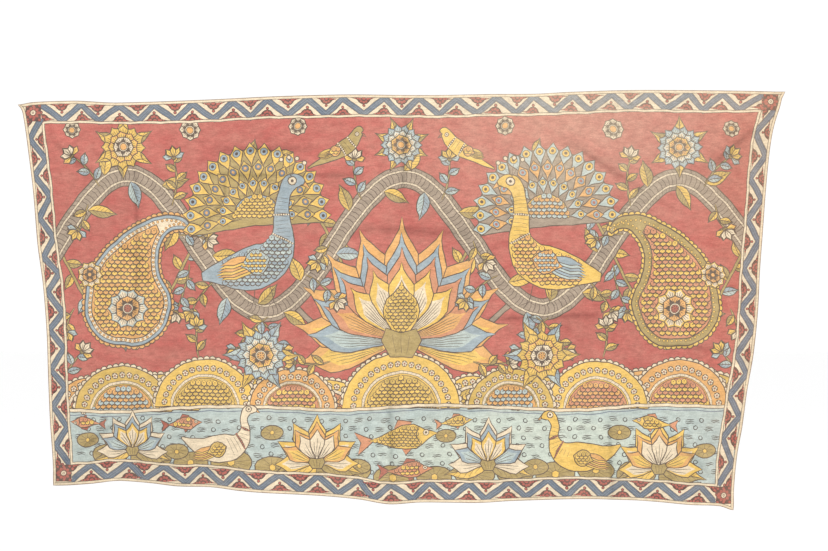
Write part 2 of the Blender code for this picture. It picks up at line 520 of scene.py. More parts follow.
def scales(loop, step, colours, keep_out=()):
    """Overlapping scales in staggered rows, each with a dot at its root."""
    low_x, high_x = min(p[0] for p in loop), max(p[0] for p in loop)
    low_z, high_z = min(p[1] for p in loop), max(p[1] for p in loop)
    row = 0
    z = low_z
    while z < high_z:
        x = low_x + step * 0.5 * (row % 2)
        while x < high_x:
            clear = all(math.hypot(x - cx, z - cz) > radius for cx, cz, radius in keep_out)
            if clear and within(x, z, loop):
                lay(disc(x, z, step * 0.60, 7), INK)
                lay(disc(x, z + step * 0.07, step * 0.48, 6), colours[row % len(colours)])
                lay(disc(x, z + step * 0.16, step * 0.15, 3), INK)
            x += step
        z += step * 0.62
        row += 1


def beads(line, gap, radius, colour=CREAM, ring=True):
    """A row of beads along a line."""
    for x, z, turn, share in walk(line, gap, gap * 0.5):
        if ring:
            lay(disc(x, z, radius + FINE_PEN * 0.7, 7), INK)
        lay(disc(x, z, radius, 6), colour)


def paisley(x, z, turn, size, flip, rim, band_dye, field_dyes, flower):
    """A paisley; its place is the foot of the drop."""
    on_cloth = placed(x, z, turn, size, flip)
    body = on_cloth(outline(PAISLEY_SPINE))
    for sx, sz, way, share in walk(body + body[:1], 0.0125):
        inked(disc(sx, sz, 0.0078, 8), rim)
    inked(body, band_dye, PEN * 1.3)
    inked(swell(body, -0.0075), CREAM, FINE_PEN)
    bead_line = swell(body, -0.0118)
    beads(bead_line + bead_line[:1], 0.0105, 0.0024, rim)
    inner = swell(swell(body, -0.008), -0.0085)
    bulb = on_cloth([(0.30, -0.03)])[0]
    curl = on_cloth([(0.97, 0.42)])[0]
    kept = [p for p in inner if math.dist(p, curl) > size * 0.16]
    inked(kept, field_dyes[0])
    scales(swell(kept, -0.006), 0.0135, field_dyes, ((*bulb, size * 0.155),))
    rosette(*bulb, size * 0.16, ((10, 1.0, 0.4, flower, CREAM), (6, 0.62, 0.25, ORANGE, None)), BRICK)


# Lotuses
# Seen from the side, with petals fanned in two or more ranks over a small cup. Each
# rank is drawn from its outer petals inwards.
def lotus(x, z, turn, size, ranks, core=None):
    """A side-on lotus. Its ranks give count, spread, length, width, dye and inner dye."""
    veins, steps = (7, 10) if size > 0.2 else (3, 6) if size > 0.05 else (1, 6)
    for count, spread_angle, length, width, colour, middle in ranks:
        order = sorted(range(count), key=lambda k: -abs(k - (count - 1) / 2))
        for k in order:
            lean = spread_angle * (k / (count - 1) - 0.5)
            tip = length * (1.0 - 0.16 * abs(lean) / 90)
            petal(placed(x, z, turn + lean, size), 0.04, tip, width, colour, middle, 0.62, veins, steps)
    on_cloth = placed(x, z, turn, size)
    if core:
        heart = on_cloth(blade(0.02, core[0], core[1], 0.5, 0.0, 10))
        inked(heart, core[2])
        scales(swell(heart, -0.005), 0.0115, (core[2], core[3]))
    inked(on_cloth([(-0.10, -0.09), (0.03, -0.16), (0.12, -0.12), (0.09, 0.0), (0.12, 0.12),
                    (0.03, 0.16), (-0.10, 0.09)]), OLIVE)
    for side in (-0.07, 0.0, 0.07):
        pen(on_cloth([(-0.07, side * 0.6), (0.07, side)]), FINE_PEN)


# Sprays
# Thin side stems bend away from the creeper, with leaves in turn on either side and
# a side-on flower at the tip.
SPRAY_FLOWER = 0.030


def spray(x, z, turn, length, bend, dyes, leaf_dyes):
    """A leafy stem that springs from a point; the bend swings its tip to one side."""
    on_cloth = placed(x, z, turn, length)
    line = on_cloth([(t, bend * t * t) for t in (0.0, 0.25, 0.5, 0.75, 1.0)])
    pen(line, PEN * 2.6)
    pen(line, PEN * 1.1, OLIVE)
    for k, (fx, fz, way, share) in enumerate(walk(line, 0.021, 0.016)):
        side = 1 if k % 2 else -1
        leaf(fx, fz, way + 48 * side, 0.036 - 0.010 * share, 0.017, leaf_dyes, 0.003 * side, 3)
    end = walk(line, 0.001)[-1]
    tip = ((5, 150, 1.0, 0.50, dyes[0], dyes[1]), (3, 70, 0.95, 0.42, dyes[2], None))
    lotus(*end[:3], SPRAY_FLOWER, tip)


# Birds
# Each bird is a body drawn round a bent spine, with a collar, a scaled breast, a
# feathered wing and a round eye. Peafowl carry a fan, parrots and geese a tail.
# Each spine runs from tail to beak: along, up, half width.
PEAFOWL = (
    (-0.42, -0.06, 0.03), (-0.26, -0.03, 0.10), (-0.06, 0.0, 0.165), (0.12, 0.08, 0.15), (0.20, 0.24, 0.09),
    (0.19, 0.42, 0.058), (0.21, 0.58, 0.05), (0.26, 0.67, 0.062), (0.33, 0.68, 0.045), (0.37, 0.67, 0.015),
)
PARROT = (
    (-0.62, -0.30, 0.012), (-0.42, -0.20, 0.045), (-0.22, -0.09, 0.085), (-0.02, 0.03, 0.135),
    (0.15, 0.17, 0.12), (0.24, 0.30, 0.10), (0.31, 0.38, 0.075), (0.37, 0.38, 0.02),
)
GOOSE = (
    (-0.50, 0.12, 0.012), (-0.36, 0.05, 0.07), (-0.16, -0.01, 0.15), (0.06, 0.0, 0.17), (0.21, 0.08, 0.11),
    (0.27, 0.22, 0.055), (0.25, 0.36, 0.045), (0.30, 0.46, 0.055), (0.37, 0.46, 0.045), (0.41, 0.44, 0.012),
)
WING_TURN = 197


def wing(on_cloth, root, length, width, turn, colours):
    """A folded wing: a scaled shoulder over long feathers."""
    feathers = placed(*root, turn)
    for k in range(6):
        slot = 0.5 - k / 5
        feather = blade(length * 0.15, length * (1.0 - 0.10 * abs(slot * 2 - 0.3)), width * 0.34, 0.6)
        shifted = [(a, b + width * 0.62 * slot) for a, b in feather]
        inked(on_cloth(feathers(shifted)), colours[k % 2], FINE_PEN * 1.2)
    shoulder = on_cloth(feathers(blade(-length * 0.06, length * 0.52, width * 1.15, 0.45)))
    inked(shoulder, colours[2])
    scales(swell(shoulder, -0.004), 0.0092, (colours[2], colours[0]))


def bird(x, z, size, flip, spine, body_dye, wing_dyes, collar, beak=ORANGE, crest=False):
    """A bird facing right, or left where it is flipped."""
    on_cloth = placed(x, z, 0.0, size)

    def facing(points):
        mirrored = [(x + (p[0] - x) * flip, p[1]) for p in on_cloth(points)]
        return mirrored if flip > 0 else mirrored[::-1]
    loop = facing(outline(spine))
    head, chest, neck = spine[-3], spine[3], spine[3:-3]
    face = head[0] + head[2] * 0.5
    bill = [(face + along, head[1] + up)
            for along, up in ((0.02, 0.035), (0.085, 0.012), (0.125, -0.045), (0.07, -0.025), (0.015, -0.03))]
    inked(facing(bill), beak)
    inked(loop, body_dye)
    line = facing([p[:2] for p in flow(neck, 4)])
    for px, pz, way, share in walk(line, 0.0085, 0.006)[:-1]:
        half = size * np.interp(share, np.linspace(0, 1, len(neck)), [p[2] for p in neck]) * 0.72
        a = math.radians(way + 90)
        across_x, across_z = math.cos(a) * half, math.sin(a) * half
        pen([(px - across_x, pz - across_z), (px + across_x, pz + across_z)], FINE_PEN)
    if crest:
        breast = facing(outline([(px, pz, half * 0.80) for px, pz, half in spine[1:5]]))
        scales(breast, 0.0125, (wing_dyes[2], body_dye))
    wing(facing, (chest[0] - 0.04, chest[1]), 0.42, 0.17, WING_TURN, wing_dyes)
    for spot in (spine[-5], spine[4]):
        before = spine[spine.index(spot) - 1]
        way = math.atan2(spot[1] - before[1], spot[0] - before[0]) + math.pi / 2
        half = spot[2] * 1.02
        ends = [(spot[0] + math.cos(way) * half * k, spot[1] + math.sin(way) * half * k) for k in (-1, 0, 1)]
        ring = facing(ends)
        pen(ring, 0.0062)
        beads([ring[0], ring[-1]], 0.0052, 0.0019, collar, False)
    eye = facing([(head[0] + 0.012, head[1] + 0.012)])[0]
    lay(disc(*eye, size * 0.034 + 0.0012, 9), INK)
    lay(disc(*eye, size * 0.030, 9), CREAM)
    lay(disc(*eye, size * 0.013, 6), INK)
    if crest:
        for lean in (-24, 0, 24, 48):
            a = math.radians(70 + lean)
            top = (head[0] + 0.16 * math.cos(a), head[1] + 0.04 + 0.16 * math.sin(a))
            plume = facing([(head[0], head[1] + 0.05), top])
            pen(plume, FINE_PEN * 1.3)
            tip = plume[0] if flip < 0 else plume[1]
            inked(disc(*tip, 0.0052, 7), collar)


def peafowl_fan(x, z, radius, ranks, ground):
    """The spread tail: ranks of eyed feathers from the rim inwards."""
    first, last = -4, 196
    rim = [around(x, z, radius * 0.93, math.radians(a)) for a in np.linspace(first, last, 26)]
    inked(rim + [(x, z - radius * 0.12)], ground)
    for count, reach, length, width, colours in ranks:
        for k in range(count):
            angle = first + (last - first) * (k + 0.5) / count
            on_cloth = placed(x, z, angle, radius)
            pen(on_cloth([(0.2, 0.0), (reach - length, 0.0)]), FINE_PEN)
            inked(on_cloth(blade(reach - length, reach, width, 0.68)), colours[0])
            cx, cz = on_cloth([(reach - length * 0.34, 0.0)])[0]
            eye = radius * width * 0.30
            inked(disc(cx, cz, eye, 8), colours[1], FINE_PEN)
            lay(disc(cx, cz, eye * 0.45, 6), colours[2])
    heart = [around(x, z, radius * 0.31, t) for t in np.linspace(0, math.pi, 13)]
    inked(heart, ranks[0][4][1])
    scales(swell(heart, -0.003), 0.0115, (ranks[0][4][0], ranks[1][4][0]))


def legs(x, z, size, flip):
    """Two thin legs with three toes each."""
    for shift in (-0.05, 0.08):
        foot = (x + shift * size * flip * 1.5, z - 0.30 * size)
        pen([(x + shift * size * flip, z - 0.12 * size), foot], PEN * 1.5)
        for toe in (-0.05, 0.03, 0.08):
            pen([foot, (foot[0] + toe * size * flip, foot[1] - 0.03 * size)], PEN)


# Hillocks
# Rounded hills stand one behind another along the shore, each with a rim of beads,
# an arch of tiny flowers, a cream rope and scales at its heart.
def rope(line, width=0.0056):
    """A cream rope with slanting ticks."""
    pen(line, width + FINE_PEN * 1.3)
    pen(line, width - FINE_PEN * 0.3, CREAM)
    ticks(line, 0.0095, 62, width * 0.42, 0.0010)


def floret(x, z, radius, petals=5):
    """A tiny cream flower with a brick heart."""
    lay(disc(x, z, radius * 1.08, 9), INK)
    for k in range(petals):
        a = 2 * math.pi * (k + 0.25) / petals
        lay(disc(*around(x, z, radius * 0.56, a), radius * 0.34, 5), CREAM)
    lay(disc(x, z, radius * 0.26, 5), BRICK)


def hillock(x, z, radius, dyes):
    """A hill on the shore, as wide as twice its radius."""

    def arc(reach, first=0.0, last=180.0, count=14):
        turns = [math.radians(a) for a in np.linspace(first, last, count + 1)]
        return [(x + reach * math.cos(t), z + reach * 0.94 * math.sin(t)) for t in turns]

    lift = math.degrees(0.0076 / radius)
    for sx, sz, way, share in walk(arc(radius, lift, 180 - lift), 0.0135, 0.002):
        inked(disc(sx, sz, 0.0076, 7), CREAM)
    inked(arc(radius), dyes[0])
    for sx, sz, way, share in walk(arc(radius * 0.815), 0.0165, 0.008):
        floret(sx, sz, min(0.0068, radius * 0.12))
    rope(arc(radius * 0.66))
    inked(arc(radius * 0.60), dyes[1], FINE_PEN)
    heart = [(px, max(pz, z + 0.006)) for px, pz in swell(arc(radius * 0.58), -0.003)]
    scales(heart, 0.0125, (dyes[2], dyes[1]))


# Fish and pond marks
# Fish, round lily pads, and between them small rings and double waves in thin grey
# pen, which fill the pond.
def fish(x, z, turn, size, flip, colours):
    """A fish with scales, fins and a forked tail."""
    on_cloth = placed(x, z, turn, size, flip)
    for tail in (((-0.40, 0.02), (-0.62, 0.16), (-0.56, 0.0), (-0.62, -0.16), (-0.40, -0.02)),
                 ((-0.10, 0.12), (-0.02, 0.24), (0.16, 0.20), (0.14, 0.12)),
                 ((-0.02, -0.13), (0.02, -0.24), (0.16, -0.13))):
        inked(on_cloth(tail), colours[1])
    loop = on_cloth(blade(-0.45, 0.5, 0.34, 0.6))
    face, eye = on_cloth([(0.38, 0), (0.34, 0.03)])
    inked(loop, colours[0])
    scales(swell(loop, -0.0045), 0.0098, (colours[0], colours[2]), ((*face, size * 0.17),))
    pen(on_cloth([(0.24, -0.12), (0.20, 0.0), (0.24, 0.12)]), PEN)
    inked(disc(*eye, size * 0.035 + 0.001, 7), CREAM, FINE_PEN)
    lay(disc(*eye, size * 0.014 + 0.0006, 5), INK)


def lily_pad(x, z, radius, veins=9):
    """A round leaf that lies on the water, seen at a slant."""
    inked([(px, z + (pz - z) * 0.62) for px, pz in disc(x, z, radius, 16)], OLIVE)
    for k in range(veins):
        a = 2 * math.pi * k / veins + 0.2
        pen([(x, z), (x + radius * 0.84 * math.cos(a), z + radius * 0.52 * math.sin(a))], FINE_PEN)
    inked(disc(x, z, radius * 0.2, 6), YELLOW, FINE_PEN)


RIPPLE_INK = dye(98, 95, 93)
MARK_GAP = 0.0285
MARK_ROW = 0.0195


def ring_mark(x, z):
    """A small ring, drawn by hand and never quite round."""
    spots = []
    for px, pz in disc(0, 0, 0.0047, 7):
        spots.append((px * random.uniform(0.9, 1.1), pz * random.uniform(0.9, 1.1)))
    loop = placed(x, z, random.uniform(0, 40))(spots)
    pen(loop + loop[:1], 0.0020, RIPPLE_INK)


def wave_mark(x, z):
    """Two or three short waves one over the other."""
    count = random.choice((2, 3, 3))
    for k in range(count):
        shift = random.uniform(-0.002, 0.002)
        lift = (k - (count - 1) / 2) * 0.0038
        wave = [(x + shift + a * 0.0098, z + lift + 0.0011 * math.sin(a * 4.0 + k))
                for a in (-1, -0.4, 0.3, 1)]
        pen(wave, 0.0019, RIPPLE_INK)


for row, z in enumerate(np.arange(SHORE - 0.026, -0.865, -MARK_ROW)):
    for k, x in enumerate(np.arange(-0.722 + 0.0145 * (row % 2), 0.715, MARK_GAP)):
        mark = ring_mark if (k + row) % 2 else wave_mark
        mark(x + random.uniform(-0.004, 0.004), z + random.uniform(-0.003, 0.003))


# The field's design
# One creeper and a thin vine cross the field, with a motif in each bend. The same
# motifs come turned about on the other side of the cloth, in other dyes.
leaf_dyes = ((OLIVE, YELLOW), (YELLOW, MUSTARD), (PALE_BLUE, BLUE), (OLIVE, MUSTARD))
VINE_CREST = 0.205
vine = flow([(x, CREEPER_Z - VINE_CREST * math.cos(2 * math.pi * x / CREEPER_WAVE))
             for x in np.linspace(-0.80, 0.80, 29)], 3)
for k, (x, z, way, share) in enumerate(walk(vine, 0.030, 0.012)):
    side = 1 if k % 2 else -1
    leaf(x, z, way + 46 * side, 0.042, 0.020, leaf_dyes[k % 4], 0.004 * side, 3)
pen(vine, 0.0078)
pen(vine, 0.0048, OLIVE)

for side in (-1, 1):
    stem([(side * 0.245, -0.470, 0.006), (side * 0.17, -0.535, 0.0055), (side * 0.08, -0.585, 0.005),
          (side * 0.01, -0.605, 0.0045)], 5, False)
creeper = [(x, creeper_z(x), STEM_HALF) for x in np.linspace(-0.84, 0.84, 43)]
stem(creeper, 3)
for i, x in enumerate(np.arange(-0.715, 0.72, 0.0555)):
    rise = -CREST * 2 * math.pi / CREEPER_WAVE * math.sin(2 * math.pi * x / CREEPER_WAVE)
    slope = math.degrees(math.atan(rise))
    side = 1 if i % 2 else -1
    a = math.radians(slope + 90 * side)
    foot = (x + 0.014 * math.cos(a), creeper_z(x) + 0.014 * math.sin(a))
    leaf(*foot, slope + 52 * side, 0.064, 0.029, leaf_dyes[i % 4], 0.009 * side)

# Rings of petals: how many, outer and inner share of the radius, dye, inner dye
blue_flower = (
    (14, 1.0, 0.42, BLUE, PALE_BLUE), (11, 0.74, 0.3, PALE_BLUE, CREAM), (7, 0.5, 0.2, YELLOW, ORANGE),
)
yellow_flower = (
    (12, 1.0, 0.4, MUSTARD, YELLOW), (9, 0.70, 0.3, ORANGE, YELLOW), (6, 0.46, 0.2, CREAM, None),
)
small_flower = ((9, 1.0, 0.36, YELLOW, CREAM), (6, 0.6, 0.2, ORANGE, None))
star_flower = ((8, 1.0, 0.42, CREAM, None),)
# Hills from back to front: place to either side of the middle, radius
HILLS = (
    (0.540, 0.086), (0.325, 0.078), (0.698, 0.080), (0.160, 0.072), (0.625, 0.110), (0.440, 0.114),
    (0.245, 0.096),
)
hill_dyes = ((YELLOW, MUSTARD, YELLOW), (ORANGE, SALMON, YELLOW), (YELLOW, SALMON, ORANGE),
             (MUSTARD, ORANGE, PALE_BLUE))
for side in (-1, 1):
    for k, (x, radius) in enumerate(HILLS):
        foot = np.interp(side * x, *zip(*SHORE_LINE))
        hillock(side * x, foot - 0.001, radius, hill_dyes[(k + side) % 4])
hillock(0.0, SHORE, 0.132, hill_dyes[0])
pen(SHORE_LINE, 0.0088)
pen(SHORE_LINE, 0.0058, CREAM)
pen([(x, z - 0.0100 + 0.0012 * math.sin(70 * x)) for x, z in SHORE_LINE], FINE_PEN * 1.4, SLATE)

warm_tip, cool_tip = (ORANGE, YELLOW, CREAM), (BLUE, PALE_BLUE, YELLOW)
# Ranks of petals: how many, spread in degrees, length, width, dye, inner dye
centre_ranks = ((11, 200, 1.0, 0.27, ORANGE, YELLOW), (9, 168, 0.88, 0.24, BLUE, PALE_BLUE),
                (7, 128, 0.77, 0.22, SALMON, ORANGE), (5, 84, 0.65, 0.20, YELLOW, CREAM))
lotus(0.0, -0.560, 90, 0.285, centre_ranks, (0.50, 0.28, YELLOW, MUSTARD))

# Sprays: place on the right side, direction, length, bend, and which of two dyes
SPRAYS = (
    (0.215, -0.405, 205, 0.085, 0.25, 1), (0.420, -0.420, -38, 0.080, -0.25, 0),
    (0.500, -0.315, 172, 0.060, 0.3, 1), (0.515, -0.250, 108, 0.105, -0.30, 0),
    (0.090, -0.235, 60, 0.085, 0.35, 1), (0.160, -0.330, -75, 0.050, 0.3, 0),
    (0.330, -0.500, -150, 0.090, 0.35, 1), (0.300, -0.500, -30, 0.095, -0.30, 0),
    (0.680, -0.205, 65, 0.085, -0.3, 1), (0.475, -0.380, -85, 0.110, 0.2, 1),
    (0.160, -0.600, -20, 0.075, 0.35, 0), (0.705, -0.245, -80, 0.060, 0.2, 0),
    (0.455, -0.590, 74, 0.066, 0.2, 0), (0.757, -0.640, 108, 0.070, 0.25, 1),
    (0.738, -0.480, -55, 0.050, -0.3, 0),
)
# Small stars along the top of the field: place on the right side, radius
STARS = ((0.232, -0.070, 0.021), (0.475, -0.078, 0.024), (0.741, -0.078, 0.019))
for side in (-1, 1):
    warm = side < 0
    for x, z, turn, length, bend, kind in SPRAYS:
        facing = turn if side > 0 else 180 - turn
        tip_dyes = warm_tip if kind == warm else cool_tip
        spray(side * x, z, facing, length, bend * side, tip_dyes, leaf_dyes[kind * 2])
    rim, band_dye, flower = (ORANGE, BLUE, PALE_BLUE) if warm else (YELLOW, OLIVE, YELLOW)
    scale_dyes = (ORANGE if warm else SALMON, YELLOW)
    paisley(side * 0.600, -0.565, 90 - side * 4, 0.285, side, rim, band_dye, scale_dyes, flower)
    inner = (YELLOW, BLUE, INK) if warm else (PALE_BLUE, YELLOW, INK)
    outer = (MUSTARD, SLATE, ORANGE) if warm else (ORANGE, BLUE, BRICK)
    fan = ((17, 1.02, 0.33, 0.175, inner), (14, 0.79, 0.30, 0.155, outer), (11, 0.56, 0.26, 0.14, inner))
    peafowl_fan(side * 0.325, -0.275, 0.165, fan, OLIVE if warm else BARK)
    legs(side * 0.315, -0.395, 0.24, -side)
    bird(side * 0.325, -0.392, 0.29, -side, PEAFOWL, BLUE if warm else YELLOW,
         (YELLOW, ORANGE, PALE_BLUE) if warm else (PALE_BLUE, BLUE, ORANGE), CREAM, ORANGE, True)
    for k in range(6):
        leaf(side * 0.625, -0.118, 30 + 60 * k, 0.074, 0.026, leaf_dyes[k % 2], 0.0, 4)
        leaf(side * 0.315, -0.585, 60 * k, 0.088, 0.030, leaf_dyes[k % 2 + 1], 0.0, 4)
    rosette(side * 0.625, -0.118, 0.050, yellow_flower if warm else blue_flower)
    rosette(side * 0.315, -0.585, 0.056, blue_flower if warm else yellow_flower)
    rosette(side * 0.700, -0.405, 0.030, small_flower)
    for x, z, radius in STARS:
        rosette(side * x, z, radius, star_flower)
    bird(side * 0.132, -0.128, 0.125, -side, PARROT, OLIVE if warm else YELLOW,
         (YELLOW, MUSTARD, ORANGE), CREAM, BRICK)
for k in range(8):
    leaf(0.0, -0.112, 45 * k + 22, 0.066, 0.022, leaf_dyes[k % 2], 0.0, 3)
rosette(0.0, -0.112, 0.046, blue_flower)

cool_ranks = (
    (7, 180, 1.0, 0.34, CREAM, None), (5, 130, 0.86, 0.32, BLUE, PALE_BLUE), (3, 60, 0.7, 0.3, YELLOW, CREAM),
)
warm_ranks = (
    (7, 180, 1.0, 0.34, YELLOW, CREAM), (5, 130, 0.86, 0.32, ORANGE, YELLOW), (3, 60, 0.7, 0.3, CREAM, None),
)
for k, share in enumerate(np.linspace(0.085, 0.915, 15)):
    lily_pad(*hung(share, 0.930 + 0.004 * (k % 3), FIELD_CALM), 0.040 + 0.006 * (k % 2), 13)
PADS = (
    (-0.705, -0.775, 0.026), (-0.505, -0.800, 0.028), (-0.290, -0.760, 0.026), (-0.095, -0.835, 0.026),
    (0.100, -0.765, 0.024), (0.300, -0.835, 0.030), (0.490, -0.760, 0.027), (0.680, -0.800, 0.026),
)
for x, z, radius in PADS:
    lily_pad(x, z, radius)
for x, z, size, ranks in ((-0.605, -0.802, 0.094, cool_ranks), (-0.190, -0.829, 0.112, warm_ranks),
                          (0.195, -0.832, 0.108, cool_ranks), (0.580, -0.842, 0.112, warm_ranks)):
    for lean in (-76, 76):
        leaf(x, z, 90 + lean * 1.35, size * 0.95, size * 0.36, leaf_dyes[0], 0.0, 5)
    lotus(x, z, 90, size, ranks)
for x, z, size, flip in ((-0.400, -0.792, 0.185, 1), (0.395, -0.812, 0.196, -1)):
    bird(x, z, size, flip, GOOSE, CREAM if flip > 0 else YELLOW, (YELLOW, ORANGE, MUSTARD), BRICK)
# Fish: place, slant, length, and which way each one swims
FISH = (
    (0.000, -0.770, 8, 0.165, 1), (0.015, -0.842, 4, 0.110, 1), (0.565, -0.738, 174, 0.090, -1),
    (-0.488, -0.738, 6, 0.085, 1), (0.122, -0.733, 8, 0.075, 1), (-0.708, -0.736, 176, 0.072, 1),
)
for k, (x, z, turn, size, flip) in enumerate(FISH):
    fish(x, z, turn, size, flip, ((YELLOW, SALMON, MUSTARD), (SALMON, BRICK, YELLOW))[k % 2])


# The border
# A blue-grey ribbon zigzags between the hem and the frame line. Each notch holds a
# small mound of red petals, and each corner a petalled square.
RIBBON = dye(116, 127, 141)
RIBBON_LINE = dye(150, 158, 166)
BORDER_RED = dye(192, 108, 98)
BORDER_DARK = dye(110, 84, 80)
MARGIN = 0.0066
SIDE_BAND = 0.033
END_BAND = 0.038
FRAME_LINE = 0.0056
RIBBON_HALF = 0.0062
ZIGZAGS = {"top": 38, "bottom": 34, "left": 18, "right": 17}
CALM = 0.035


def at_depth(s, t, side_depth, end_depth):
    """A point between four lines that run a distance in from the cloth's edges."""
    inset, lower = side_depth / width_at(t), end_depth / drop_at(s)
    return hung(inset + (1 - 2 * inset) * s, lower + (1 - 2 * lower) * t, CALM)


def edge_spot(side, share, depth):
    """A point of the border: a share of the way along a side, and its depth."""
    if side == "top":
        return at_depth(share, 0.0, 0.0, depth)
    if side == "bottom":
        return at_depth(share, 1.0, 0.0, depth)
    if side == "left":
        return at_depth(0.0, share, depth, 0.0)
    return at_depth(1.0, share, depth, 0.0)


def round_cloth(side_depth, end_depth):
    """A closed line round the cloth at those depths."""
    steps = np.linspace(0, 1, 49)[:-1]
    loop = [(s, 0.0) for s in steps] + [(1.0, t) for t in steps]
    loop += [(1.0 - s, 1.0) for s in steps] + [(0.0, 1.0 - t) for t in steps]
    return [at_depth(s, t, side_depth, end_depth) for s, t in loop + loop[:1]]


def petal_mound(x, z, turn, half_base, height):
    """Half a flower with low wings and a ball on top; its place is the middle of its foot."""
    on_cloth = placed(x, z, turn)
    half = [(0.0, 1.0), (0.10, 0.74), (0.22, 0.52), (0.46, 0.40), (0.64, 0.24), (0.71, 0.0)]
    rim = [(a * height, b * half_base) for a, b in half]
    lay(on_cloth(rim + [(a, -b) for a, b in rim[-2::-1]]), BORDER_DARK)
    for a in (16, 53, 90, 127, 164):
        way = math.radians(a + random.uniform(-4, 4))
        spot = on_cloth([(height * 0.47 * math.sin(way), height * 0.43 * math.cos(way))])[0]
        lay(disc(*spot, height * 0.145, 6), BORDER_RED)
    for a, radius in ((0.46, 0.12), (0.66, 0.09), (-0.46, 0.12), (-0.66, 0.09)):
        spot = on_cloth([(height * radius * 0.7, half_base * a)])[0]
        lay(disc(*spot, height * radius, 5), BORDER_RED)
    lay(disc(x, z, height * 0.22, 8), BORDER_RED)
    ball = on_cloth([(height * 0.84, 0.0)])[0]
    lay(disc(*ball, height * 0.18, 7), BORDER_DARK)
    lay(disc(*ball, height * 0.115, 6), BORDER_RED)


for side, count in ZIGZAGS.items():
    ends = side in ("top", "bottom")
    deep = END_BAND if ends else SIDE_BAND
    length = 1.63 if ends else 0.90
    ground_line = [(*edge_spot(side, s, MARGIN + deep / 2), deep / 2) for s in np.linspace(0.012, 0.988, 60)]
    band(ground_line, CREAM)
    first = (MARGIN + (SIDE_BAND if ends else END_BAND)) / length
    spots = []
    for k in range(count + 1):
        share = first + (1 - 2 * first) * (k + random.uniform(-0.13, 0.13)) / count
        outer = k % 2 == (1 if side == "left" else 0)
        inward = 0.0012 if outer else deep - 0.0012
        spots.append((share, outer, edge_spot(side, share, MARGIN + inward)))
    zigzag = [(*spot, RIBBON_HALF) for share, outer, spot in spots]
    band([(x, z, half + 0.0009) for x, z, half in zigzag], INK)
    band(zigzag, RIBBON)
    for shift in (-0.34, 0.34):
        left, right = sides([(x, z, RIBBON_HALF * shift) for x, z, half in zigzag])
        pen(left, 0.0011, RIBBON_LINE)
    for share, outer, spot in spots:
        foot = edge_spot(side, share, MARGIN + (deep if outer else 0.0))
        top = edge_spot(side, share, MARGIN + deep / 2)
        turn = math.degrees(math.atan2(top[1] - foot[1], top[0] - foot[0]))
        pitch = length * (1 - 2 * first) / count
        petal_mound(*foot, turn, pitch * random.uniform(0.64, 0.74), deep * random.uniform(0.52, 0.62))

CORNERS = ((-1, -1), (1, -1), (1, 1), (-1, 1))
half_side, half_end = SIDE_BAND / 2, END_BAND / 2
for s, t in ((0, 0), (1, 0), (0, 1), (1, 1)):
    x, z = at_depth(s, t, MARGIN + half_side, MARGIN + half_end)
    lay([(x + a * half_side * 1.02, z + b * half_end * 1.02) for a, b in CORNERS], BORDER_DARK)
    for a, b in CORNERS + ((0, -1), (0, 1), (-1, 0), (1, 0)):
        lay(disc(x + a * half_side * 0.80, z + b * half_end * 0.80, 0.0030, 6), BORDER_RED)
    for k in range(9):
        lay(placed(x, z, 40 * k)(blade(0.0045, 0.0150, 0.0075, 0.6, 0.0, 4)), BORDER_RED)
    lay(disc(x, z, 0.0070, 12), BORDER_DARK)
    lay(disc(x, z, 0.0054, 12), CREAM)
    lay(disc(x, z, 0.0026, 8), BORDER_DARK)
    lay(disc(x, z, 0.0015, 6), CREAM)

frame_middle = MARGIN + FRAME_LINE / 2
frame_line = round_cloth(SIDE_BAND + frame_middle, END_BAND + frame_middle)
band([(x, z, FRAME_LINE / 2 + 0.0007) for x, z in frame_line], INK)
band([(x, z, FRAME_LINE / 2 - 0.0007) for x, z in frame_line], CREAM)

# The hem
# The raw edge is turned twice to the back and sewn down, a little thicker than the
# cloth, with a worn brown line along its fold.
HEM = 0.0064
EDGE_STEPS = {"top": 200, "right": 110, "bottom": 190, "left": 100}


def cloth_outline():
    """The cloth's real edge, corner to corner, closest together near the corners."""
    loop = []
    for side, count in EDGE_STEPS.items():
        for k in range(count):
            share = k / count
            share = share - 0.10 * math.sin(2 * math.pi * share) / (2 * math.pi)
            along = share if side in ("top", "right") else 1 - share
            spots = {"top": (along, 0.0), "right": (1.0, along), "bottom": (along, 1.0), "left": (0.0, along)}
            loop.append(tuple(float(v) for v in hung(*spots[side])))
    return loop


edge = cloth_outline()


def hem_band(outer_depth, inner_depth, colour):
    """A band round the cloth between two depths from its edge."""
    outer, inner = swell(edge, -outer_depth), swell(edge, -inner_depth)
    for i in range(len(edge)):
        lay([outer[i - 1], outer[i], inner[i], inner[i - 1]], colour)


hem_from = len(shapes)
hem_band(0.0, HEM, CREAM)
hem_band(0.0, 0.0016, dye(164, 138, 118))
hem_band(HEM - 0.0004, HEM + 0.0007, INK)

# The finished cloth
# The painted face, its paler back and the folded edge between them are one closed
# sheet. The dyes reach the back only where they were laid on broadly.
THREADS = 0.0011
HEM_THICKNESS = 0.0017
GRID = 0.027
TIGHT_BEND = 3.2
SLACK = 0.00036
DEPTH_SLACK = 0.00035
STEP = 0.006
SOAKED_AREA = 0.0014
BACK_SLACK = 0.0040


def by_hand(x, z):
    """The slight wander of a line drawn without a ruler."""
    across = 0.0009 * np.sin(31 * x + 17 * z + 1) + 0.0006 * np.sin(83 * z - 47 * x)
    across = across + 0.0004 * np.sin(210 * z + 2)
    up = 0.0009 * np.sin(27 * z - 23 * x + 2) + 0.0006 * np.sin(91 * x + 39 * z)
    up = up + 0.0004 * np.sin(190 * x + 1)
    return x + across, z + up


